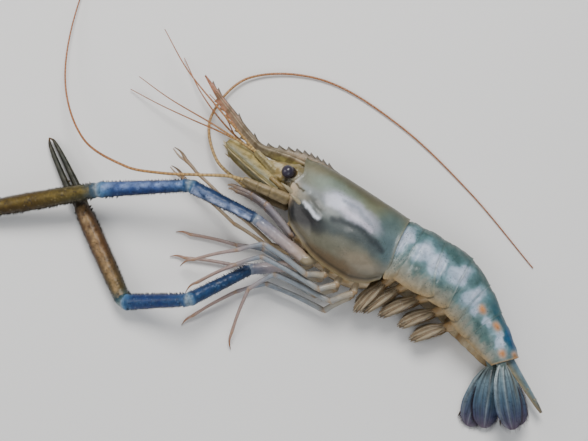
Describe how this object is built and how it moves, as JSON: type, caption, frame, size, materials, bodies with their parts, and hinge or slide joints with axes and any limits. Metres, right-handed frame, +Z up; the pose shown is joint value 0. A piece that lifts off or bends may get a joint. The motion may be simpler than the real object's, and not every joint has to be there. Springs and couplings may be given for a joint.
{
  "type": "giant river prawn model",
  "caption": "Life-size still model of a giant river prawn on its side, with saw-edged rostrum, long blue arms, legs, swimmerets, feelers and tail fan.",
  "frame": {"origin": "where the right side of the carapace rests on the floor, under its widest part", "axes": "+X from the head towards the tail, +Y towards the back, +Z up from the floor, which is the prawn's left side"},
  "size_m": [0.3391, 0.1886, 0.0343],
  "materials": {
    "shell_grey": "wet translucent shell, grey with bluish patches and a pale sheen",
    "shell_teal": "wet translucent shell, blue-green with paler bands",
    "shell_olive": "olive-brown shell with darker teeth and edges",
    "belly_cream": "straw-coloured, soft and half clear",
    "leg_pale": "pale blue-grey turning cream at the tips",
    "arm_blue": "cobalt blue with pale blue tops",
    "claw_olive": "olive-brown with dark green and fine pale pores",
    "fan_navy": "dark navy with purple tips and lighter ribs",
    "eye_black": "glossy near-black with a purple cast",
    "feeler_tan": "reddish tan"
  },
  "bodies": {
    "root": {"carapace": "shell_grey", "abdomen_1": "shell_teal", "abdomen_2": "shell_teal", "abdomen_3": "shell_teal", "abdomen_4": "shell_teal", "abdomen_5": "shell_teal", "abdomen_6": "shell_teal", "telson": "shell_teal", "rostrum": "shell_olive", "eyestalk_left": "shell_olive", "eyestalk_right": "shell_olive", "antennule_left": "shell_olive", "antennule_right": "shell_olive", "antenna_left": "shell_olive", "antenna_right": "shell_olive", "antennal_scale_left": "shell_olive", "antennal_scale_right": "shell_olive", "thorax": "belly_cream", "swimmeret_1_left": "belly_cream", "swimmeret_1_right": "belly_cream", "swimmeret_2_left": "belly_cream", "swimmeret_2_right": "belly_cream", "swimmeret_3_left": "belly_cream", "swimmeret_3_right": "belly_cream", "swimmeret_4_left": "belly_cream", "swimmeret_4_right": "belly_cream", "swimmeret_5_left": "belly_cream", "swimmeret_5_right": "belly_cream", "leg_1_left": "leg_pale", "leg_1_right": "leg_pale", "leg_3_left": "leg_pale", "leg_3_right": "leg_pale", "leg_4_left": "leg_pale", "leg_4_right": "leg_pale", "leg_5_left": "leg_pale", "leg_5_right": "leg_pale", "maxilliped_left": "leg_pale", "maxilliped_right": "leg_pale", "arm_left_ischium": "leg_pale", "arm_right_ischium": "leg_pale", "arm_left_merus": "arm_blue", "arm_left_carpus": "arm_blue", "arm_right_merus": "arm_blue", "arm_right_carpus": "arm_blue", "arm_left_palm": "claw_olive", "arm_left_dactyl": "claw_olive", "arm_right_palm": "claw_olive", "arm_right_dactyl": "claw_olive", "uropod_left_endopod": "fan_navy", "uropod_left_exopod": "fan_navy", "uropod_right_endopod": "fan_navy", "uropod_right_exopod": "fan_navy", "eye_left": "eye_black", "eye_right": "eye_black", "flagellum_left_near": "feeler_tan", "flagellum_left_far": "feeler_tan", "flagellum_right_near": "feeler_tan", "flagellum_right_far": "feeler_tan", "antennule_whips_left": "feeler_tan", "antennule_whips_right": "feeler_tan"}
  },
  "joints": []
}
